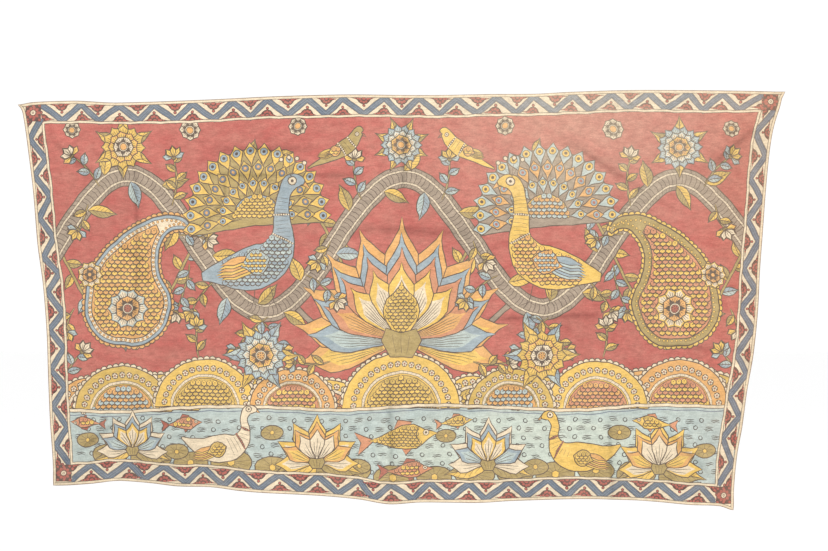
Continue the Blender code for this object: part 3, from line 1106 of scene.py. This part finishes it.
def stepped(loop):
    """The same outline with a point at least every STEP, so that its long runs follow the folds."""
    points = []
    for (ax, az), (bx, bz) in zip(loop, loop[1:] + loop[:1]):
        count = int(math.dist((ax, az), (bx, bz)) / STEP) + 1
        points += [(ax + (bx - ax) * i / count, az + (bz - az) * i / count) for i in range(count)]
    return points


def area_of(loop):
    """The area of a closed outline, positive where it runs against the clock."""
    return sum(a[0] * b[1] - b[0] * a[1] for a, b in zip(loop, loop[1:] + loop[:1])) / 2


def against_clock(loop):
    """The same outline, run against the clock and ending at its leftmost point."""
    left = min(range(len(loop)), key=lambda i: (loop[i][0], loop[i][1]))
    (ax, az), (bx, bz), (cx, cz) = loop[left - 1], loop[left], loop[(left + 1) % len(loop)]
    turned = loop[left + 1:] + loop[:left + 1]
    if (bx - ax) * (cz - bz) - (bz - az) * (cx - bx) < 0:
        turned = turned[-2::-1] + turned[-1:]
    return turned


# Sharp creases where it was folded or pinched: start x, start z, end x, end z, height, half width
CREASES = (
    (-0.598, -0.150, -0.592, -0.345, 0.0016, 0.0050), (-0.592, -0.345, -0.600, -0.560, 0.0009, 0.0060),
    (-0.425, -0.179, -0.250, -0.183, -0.0015, 0.0048), (-0.250, -0.183, -0.090, -0.180, -0.0010, 0.0052),
    (-0.420, -0.125, -0.200, -0.120, -0.0010, 0.0070), (-0.396, -0.188, -0.398, -0.235, -0.0014, 0.0040),
    (-0.398, -0.235, -0.436, -0.284, -0.0014, 0.0042), (-0.640, -0.332, -0.600, -0.362, -0.0012, 0.0045),
    (-0.600, -0.362, -0.572, -0.372, -0.0010, 0.0050), (-0.026, -0.620, -0.020, -0.905, 0.0014, 0.0060),
    (0.012, -0.020, 0.002, -0.250, -0.0010, 0.0065), (0.195, -0.503, 0.320, -0.500, 0.0013, 0.0050),
    (0.320, -0.500, 0.450, -0.493, 0.0010, 0.0055), (0.466, -0.720, 0.474, -0.915, 0.0015, 0.0052),
    (0.370, -0.100, 0.540, -0.215, -0.0009, 0.0075), (-0.780, -0.105, -0.690, -0.178, 0.0013, 0.0060),
    (0.790, -0.075, 0.690, -0.165, 0.0014, 0.0060), (-0.725, -0.800, -0.640, -0.735, 0.0012, 0.0060),
    (0.690, -0.850, 0.600, -0.760, 0.0013, 0.0060), (-0.110, -0.300, 0.150, -0.310, -0.0008, 0.0080),
    (0.560, -0.560, 0.700, -0.570, 0.0010, 0.0055), (-0.360, -0.640, -0.190, -0.652, -0.0009, 0.0060),
)
CREASE_FADE = 0.65


def creased(x, z):
    """How far the creases lift the cloth towards the viewer."""
    return sum(height * ridge(x, z, line, half_width, CREASE_FADE) for *line, height, half_width in CREASES)


def crease_shading(x, z):
    """How much painted shade darkens the cloth along the creases, from 0 to 1."""
    shade_near_creases = sum(ridge(x, z, line, half_width, CREASE_FADE) for *line, height, half_width in CREASES)
    return np.clip(shade_near_creases, 0.0, 1.0)


def grid_points(gap):
    """Points for the cloth to bend at, twice as close where it curves and closest at the creases."""
    row_count, column_count = int(0.925 / (gap * 0.43)), int(1.70 / (gap * 0.5))
    rows, columns = np.meshgrid(np.arange(row_count), np.arange(column_count), indexing="ij")
    x = -0.85 + gap * 0.5 * (columns + 0.5 * (rows % 2))
    z = -0.925 + gap * 0.43 * rows
    depth, near = stands_at(x, z), 0.006
    bend = np.abs(stands_at(x + near, z) + stands_at(x - near, z) - 2 * depth) / near ** 2
    bend += np.abs(stands_at(x, z + near) + stands_at(x, z - near) - 2 * depth) / near ** 2
    kept = (bend > TIGHT_BEND) | ((rows % 2 == 0) & (columns % 2 == (rows // 2) % 2))
    points = [(float(a), float(b)) for a, b in zip(x[kept], z[kept])]
    for start_x, start_z, end_x, end_z, height, half_width in CREASES:
        run = math.hypot(end_x - start_x, end_z - start_z)
        across_x, across_z = -(end_z - start_z) / run * half_width, (end_x - start_x) / run * half_width
        for t in np.linspace(0.0, 1.0, int(run / 0.012) + 2):
            x, z = start_x + (end_x - start_x) * t, start_z + (end_z - start_z) * t
            points += [(x + across_x * side, z + across_z * side) for side in (-1.6, -0.7, 0.0, 0.7, 1.6)]
    return points


def thinned(line, slack):
    """A line without the points that lie within the slack of a straight run, or nearly so in depth."""
    if len(line) < 3:
        return line
    (ax, az, ay), (bx, bz, by) = line[0], line[-1]
    run_x, run_z, run = bx - ax, bz - az, math.hypot(bx - ax, bz - az)
    middle = len(line) // 2
    if run > 1e-9:
        away = [max(abs((x - ax) * run_z - (z - az) * run_x) / run / slack,
                    abs(y - ay - (by - ay) * ((x - ax) * run_x + (z - az) * run_z) / run ** 2) / DEPTH_SLACK)
                for x, z, y in line[1:-1]]
        if max(away) < 1.0:
            return [line[0], line[-1]]
        middle = away.index(max(away)) + 1
    return thinned(line[:middle + 1], slack)[:-1] + thinned(line[middle:], slack)


def chains_of(edges):
    """Joins loose edges into runs that end where three or more of them meet."""
    beside = {}
    for a, b in edges:
        beside.setdefault(a, []).append(b)
        beside.setdefault(b, []).append(a)
    ends = [i for i, others in beside.items() if len(others) != 2]
    walked, chains = set(), []
    for start in ends + list(beside):
        for second in beside[start]:
            if (start, second) in walked or (len(beside[start]) == 2 and (second, start) in walked):
                continue
            chain = [start, second]
            walked.update(((start, second), (second, start)))
            while len(beside[chain[-1]]) == 2 and chain[-1] != start:
                onward = [i for i in beside[chain[-1]] if i != chain[-2]]
                if not onward or (chain[-1], onward[0]) in walked:
                    break
                walked.update(((chain[-1], onward[0]), (onward[0], chain[-1])))
                chain.append(onward[0])
            chains.append(chain)
    return chains


def cut_and_paint(boundary, painted, gap, slack):
    """Cuts the cloth along every edge that shows, and gives each piece the dye laid there last."""
    points, loops = [], []
    for loop in [boundary] + [loop for loop, colour in painted]:
        loops.append(list(range(len(points), len(points) + len(loop))))
        points += loop
    cut = delaunay_2d_cdt([Vector((float(x), float(z))) for x, z in points], [], loops, 1, 1e-6, True)
    spots, triangles, sources = [tuple(spot) for spot in cut[0]], cut[2], cut[5]
    last = [max(source) if 0 in source else -1 for source in sources]
    colours = [painted[i - 1][1] if i > 0 else CREAM for i in last]
    beside = {}
    for i, triangle in enumerate(triangles):
        if last[i] >= 0:
            for a, b in zip(triangle, triangle[1:] + triangle[:1]):
                beside.setdefault((min(a, b), max(a, b)), []).append(i)
    seams = [pair for pair, owners in beside.items()
             if len(owners) == 2 and colours[owners[0]] != colours[owners[1]]]
    depths = stands_at(*np.array(spots).T).tolist()
    lines = [boundary + boundary[:1]]
    for chain in chains_of(seams):
        lines.append([spot[:2] for spot in thinned([(*spots[i], depths[i]) for i in chain], slack)])
    number, edges = {}, []
    for line in lines:
        for a, b in zip(line, line[1:]):
            edges.append((number.setdefault(a, len(number)), number.setdefault(b, len(number))))
    spread_out = [Vector(spot) for spot in list(number) + grid_points(gap)]
    cut = delaunay_2d_cdt(spread_out, edges, [], 0, 1e-6, True)
    fresh, fresh_triangles = [tuple(spot) for spot in cut[0]], cut[2]
    inside = [i for i in range(len(triangles)) if last[i] >= 0]
    found = BVHTree.FromPolygons([(*spot, 0.0) for spot in spots], [triangles[i] for i in inside])
    kept, dyes = [], []
    for triangle in fresh_triangles:
        x, z = [sum(fresh[i][axis] for i in triangle) / 3 for axis in (0, 1)]
        hit = found.find_nearest((x, z, 0.0))
        if hit[3] < 1e-7 or (hit[3] < 1e-3 and within(x, z, boundary)):
            kept.append(tuple(triangle))
            dyes.append(colours[inside[hit[2]]])
    used = sorted({i for triangle in kept for i in triangle})
    number = {old: new for new, old in enumerate(used)}
    rim = [number[fresh.index(tuple(Vector(point)))] for point in boundary]
    kept = [tuple(number[i] for i in triangle) for triangle in kept]
    return np.array([fresh[i] for i in used]), kept, dyes, rim


def shares_of(x, z):
    """Which shares across and down a point of the hung cloth lies at."""
    across, down = np.full_like(x, 0.5), np.full_like(z, 0.5)
    for _ in range(9):
        at_x, at_z = hung(across, down)
        across = across + (x - at_x) / width_at(down)
        down = down + (at_z - z) / drop_at(across)
    return across, down


def stands_at(x, z):
    """The depth of the cloth's painted face, from the plane of its top edge."""
    across, down = shares_of(x, z)
    return -(forward(across, np.clip(down, 0, 1)) - forward(0.5, 0.0)) - creased(x, z)


def facing_of(x, z):
    """The direction that the painted face looks in."""
    near = 0.0008
    slope_x = (stands_at(x + near, z) - stands_at(x - near, z)) / (2 * near)
    slope_z = (stands_at(x, z + near) - stands_at(x, z - near)) / (2 * near)
    facing = np.stack([slope_x, -np.ones_like(x), slope_z], axis=1)
    return facing / np.linalg.norm(facing, axis=1)[:, None]


drawn = []
for i, (loop, colour) in enumerate(shapes):
    if i < hem_from:
        loop = stepped(loop)
        xs, zs = by_hand(np.array([p[0] for p in loop]), np.array([p[1] for p in loop]))
        loop = list(zip(xs, zs))
    drawn.append((against_clock(loop), colour))
boundary = against_clock(edge)
front, front_triangles, front_colours, front_rim = cut_and_paint(boundary, drawn, GRID, SLACK)
soaked = [(loop, colour) for loop, colour in drawn[:hem_from]
          if colour in (BARK, RIBBON) or colour != INK and abs(area_of(loop)) > SOAKED_AREA]
soaked += drawn[hem_from:hem_from + len(edge)]
back, back_triangles, back_colours, back_rim = cut_and_paint(boundary, soaked, GRID, BACK_SLACK)


def thickness_at(spots):
    """The cloth's thickness: thin inside, and doubled twice over in the hem."""
    nearest = np.full(len(spots), 1.0)
    for start in range(0, len(edge), 50):
        block = np.array(edge[start:start + 50])
        gaps = np.hypot(spots[:, None, 0] - block[None, :, 0], spots[:, None, 1] - block[None, :, 1])
        nearest = np.minimum(nearest, gaps.min(axis=1))
    hemmed = np.clip((HEM + 0.003 - nearest) / 0.003, 0, 1)
    return THREADS + (HEM_THICKNESS - THREADS) * hemmed


front_y = stands_at(front[:, 0], front[:, 1])
front_points = np.stack([front[:, 0], front_y, front[:, 1]], axis=1)
back_y = stands_at(back[:, 0], back[:, 1]) + thickness_at(back)
back_points = np.stack([back[:, 0], back_y, back[:, 1]], axis=1)
points = np.concatenate([front_points, back_points])
shift = len(front_points)
triangles = front_triangles + [tuple(i + shift for i in reversed(t)) for t in back_triangles]
edge_triangles = []
for i in range(len(boundary)):
    a, b, behind_a, behind_b = front_rim[i - 1], front_rim[i], back_rim[i - 1] + shift, back_rim[i] + shift
    edge_triangles += [(b, a, behind_a), (b, behind_a, behind_b)]
triangles += edge_triangles

sheet_mesh = bpy.data.meshes.new("painted_sheet")
sheet_mesh.from_pydata(points.tolist(), [], triangles)
PALING = 0.55
washed = [blended(colour, CREAM, PALING) for colour in back_colours]
fold_dye = dye(206, 180, 156)
face_dyes = front_colours + washed + [fold_dye] * len(edge_triangles)
dyed = sheet_mesh.attributes.new("dye", "FLOAT_COLOR", "FACE")
dyed.data.foreach_set("color", np.array([(*dye_colour, 1.0) for dye_colour in face_dyes], np.float32).ravel())
# Painted shade along the creases, kept at each point for the material.
painted_crease_shade = sheet_mesh.attributes.new("painted_crease_shade", "FLOAT", "POINT")
painted_crease_shade.data.foreach_set("value", crease_shading(points[:, 0], points[:, 2]).astype(np.float32))
sheet_mesh.shade_smooth()
front_facing = facing_of(front[:, 0], front[:, 1])
back_facing = -facing_of(back[:, 0], back[:, 1])
sheet_mesh.normals_split_custom_set_from_vertices(np.concatenate([front_facing, back_facing]).tolist())
painted_sheet = bpy.data.objects.new("painted_sheet", sheet_mesh)
bpy.context.collection.objects.link(painted_sheet)


PALER_CREAM = tuple(0.95 * channel for channel in CREAM)
FADE_PATCHES = 0.12
# The cloth is paler round this spot, towards the upper right.
PALEST_SPOT = (0.42, 0.0, -0.05)
PALING_AT_SPOT = 0.25
PALING_STRETCH = (0.85, 0.0, 1.6)
AGE_TAN = dye(200, 150, 100)
# The cloth is darker towards this lower left corner.
DARKER_CORNER = (-0.72, 0.0, -0.88)
# How dark the painted crease shade gets at the middle of a crease.
PAINTED_CREASE_SHADE = 0.70
# Uneven dye, from broad patches to single threads: stretch, scale, detail, darkest, lightest
UNEVENNESS = (
    ((1, 1, 1), 5.0, 3.0, 0.93, 1.05),
    ((1, 1, 1.8), 55.0, 5.0, 0.86, 1.10),
    ((75, 75, 380), 1.0, 3.0, 0.89, 1.10),
    ((330, 330, 420), 1.0, 1.0, 0.90, 1.09),
)


def dyed_cotton():
    """Plain-woven cotton with uneven hand-brushed dye and a soft, matt surface."""
    material = bpy.data.materials.new("dyed_cotton")
    material.use_nodes = True
    nodes, links = material.node_tree.nodes, material.node_tree.links
    surface = nodes["Principled BSDF"]
    surface.inputs["Roughness"].default_value = 0.92
    surface.inputs["Specular IOR Level"].default_value = 0.15
    place = nodes.new("ShaderNodeTexCoord")
    painted = nodes.new("ShaderNodeAttribute")
    painted.attribute_name = "dye"

    def noise(stretch, scale, detail):
        mapping = nodes.new("ShaderNodeMapping")
        mapping.inputs["Scale"].default_value = stretch
        texture = nodes.new("ShaderNodeTexNoise")
        texture.inputs["Scale"].default_value = scale
        texture.inputs["Detail"].default_value = detail
        texture.inputs["Roughness"].default_value = 0.6
        links.new(place.outputs["Object"], mapping.inputs["Vector"])
        links.new(mapping.outputs["Vector"], texture.inputs["Vector"])
        return texture.outputs["Fac"]

    def remap(value, low, high, start=0.3, end=0.7):
        node = nodes.new("ShaderNodeMapRange")
        node.inputs["From Min"].default_value = start
        node.inputs["From Max"].default_value = end
        node.inputs["To Min"].default_value = low
        node.inputs["To Max"].default_value = high
        links.new(value, node.inputs["Value"])
        return node.outputs["Result"]

    def mixed(colour, kind, share, other):
        node = nodes.new("ShaderNodeMix")
        node.data_type = "RGBA"
        node.blend_type = kind
        links.new(colour, node.inputs[6])
        if kind == "MULTIPLY":
            node.inputs["Factor"].default_value = share
            links.new(other, node.inputs[7])
        else:
            links.new(share, node.inputs["Factor"])
            node.inputs[7].default_value = (*other, 1.0)
        return node.outputs[2]

    def added(first, second):
        node = nodes.new("ShaderNodeMath")
        node.use_clamp = True
        links.new(first, node.inputs[0])
        links.new(second, node.inputs[1])
        return node.outputs["Value"]

    def away_from(spot, stretch):
        stretched = nodes.new("ShaderNodeMapping")
        stretched.inputs["Scale"].default_value = stretch
        links.new(place.outputs["Object"], stretched.inputs["Vector"])
        reach = nodes.new("ShaderNodeVectorMath")
        reach.operation = "DISTANCE"
        links.new(stretched.outputs["Vector"], reach.inputs[0])
        reach.inputs[1].default_value = [at * k for at, k in zip(spot, stretch)]
        return reach.outputs["Value"]

    # Paler towards the upper right round PALEST_SPOT, and paler in random patches.
    about_spot = remap(away_from(PALEST_SPOT, PALING_STRETCH), PALING_AT_SPOT, 0.0, 0.06, 0.46)
    patches = remap(noise((1, 1.0, 1.6), 22.0, 4.0), 0.0, FADE_PATCHES)
    colour = mixed(painted.outputs["Color"], "MIX", added(patches, about_spot), PALER_CREAM)
    sideways = nodes.new("ShaderNodeSeparateXYZ")
    links.new(place.outputs["Object"], sideways.inputs["Vector"])
    colour = mixed(colour, "MIX", remap(sideways.outputs["X"], 0.0, 0.12, 0.62, 0.80), AGE_TAN)
    # Darker towards the lower left corner.
    about_corner = remap(away_from(DARKER_CORNER, (1.0, 0.0, 1.0)), 0.93, 1.0, 0.05, 0.45)
    colour = mixed(colour, "MULTIPLY", 1.0, about_corner)
    for stretch, scale, detail, darkest, lightest in UNEVENNESS:
        colour = mixed(colour, "MULTIPLY", 1.0, remap(noise(stretch, scale, detail), darkest, lightest))
    # Painted shade: the dye is darkened along the creases, standing in for the shade in the folds.
    crease_shade_node = nodes.new("ShaderNodeAttribute")
    crease_shade_node.attribute_name = "painted_crease_shade"
    colour = mixed(colour, "MULTIPLY", 1.0, remap(crease_shade_node.outputs["Fac"], 1.0, PAINTED_CREASE_SHADE, 0.0, 1.0))
    links.new(colour, surface.inputs["Base Color"])
    bump = nodes.new("ShaderNodeBump")
    bump.inputs["Strength"].default_value = 0.35
    bump.inputs["Distance"].default_value = 0.0006
    links.new(noise((500, 500, 900), 1.0, 2.0), bump.inputs["Height"])
    links.new(bump.outputs["Normal"], surface.inputs["Normal"])
    return material


sheet_mesh.materials.append(dyed_cotton())
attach(painted_sheet, "root")
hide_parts("painted_cloth")


# The studio
# A pale floor well below the cloth, an even white sky and one large soft lamp above
# and in front, so that the folds show lightly.
PHOTO_WIDTH = 828
PHOTO_HEIGHT = 551
METRES_PER_PIXEL = 0.00225
ORIGIN_PIXEL = (401.5, 95.0)
LENS = 70.0
SENSOR = 36.0
FLOOR_DROP = 0.35

bpy.ops.object.select_all(action="DESELECT")
lowest = solid_box[0][2]
bpy.ops.mesh.primitive_plane_add(size=30.0, location=(0.0, 0.0, lowest - FLOOR_DROP))
floor = bpy.context.object
floor.name = "studio_floor"
paper = bpy.data.materials.new("floor_paper")
paper.use_nodes = True
paper.node_tree.nodes["Principled BSDF"].inputs["Base Color"].default_value = (0.96, 0.96, 0.96, 1.0)
paper.node_tree.nodes["Principled BSDF"].inputs["Roughness"].default_value = 0.95
floor.data.materials.append(paper)

world = bpy.data.worlds.new("studio_sky")
world.use_nodes = True
world.node_tree.nodes["Background"].inputs["Color"].default_value = (1.0, 1.0, 1.0, 1.0)
world.node_tree.nodes["Background"].inputs["Strength"].default_value = 1.03
bpy.context.scene.world = world

lamp_data = bpy.data.lights.new("soft_lamp", "AREA")
lamp_data.shape = "RECTANGLE"
lamp_data.size = 2.2
lamp_data.size_y = 1.6
lamp_data.energy = 40.0
lamp = bpy.data.objects.new("soft_lamp", lamp_data)
lamp.location = (0.15, -2.1, 1.9)
lamp.rotation_euler = (Vector((0.0, 0.0, -0.4)) - lamp.location).to_track_quat("-Z", "Y").to_euler()
bpy.context.collection.objects.link(lamp)

camera_data = bpy.data.cameras.new("camera")
camera_data.lens = LENS
camera_data.sensor_width = SENSOR
camera = bpy.data.objects.new("camera", camera_data)
seen_width = PHOTO_WIDTH * METRES_PER_PIXEL
centre_x = (PHOTO_WIDTH / 2 - ORIGIN_PIXEL[0]) * METRES_PER_PIXEL
centre_z = (ORIGIN_PIXEL[1] - PHOTO_HEIGHT / 2) * METRES_PER_PIXEL
camera.location = (centre_x, -seen_width * LENS / SENSOR, centre_z)
camera.rotation_euler = (math.pi / 2, 0.0, 0.0)
bpy.context.collection.objects.link(camera)
bpy.context.scene.camera = camera
bpy.context.scene.view_settings.view_transform = "Standard"
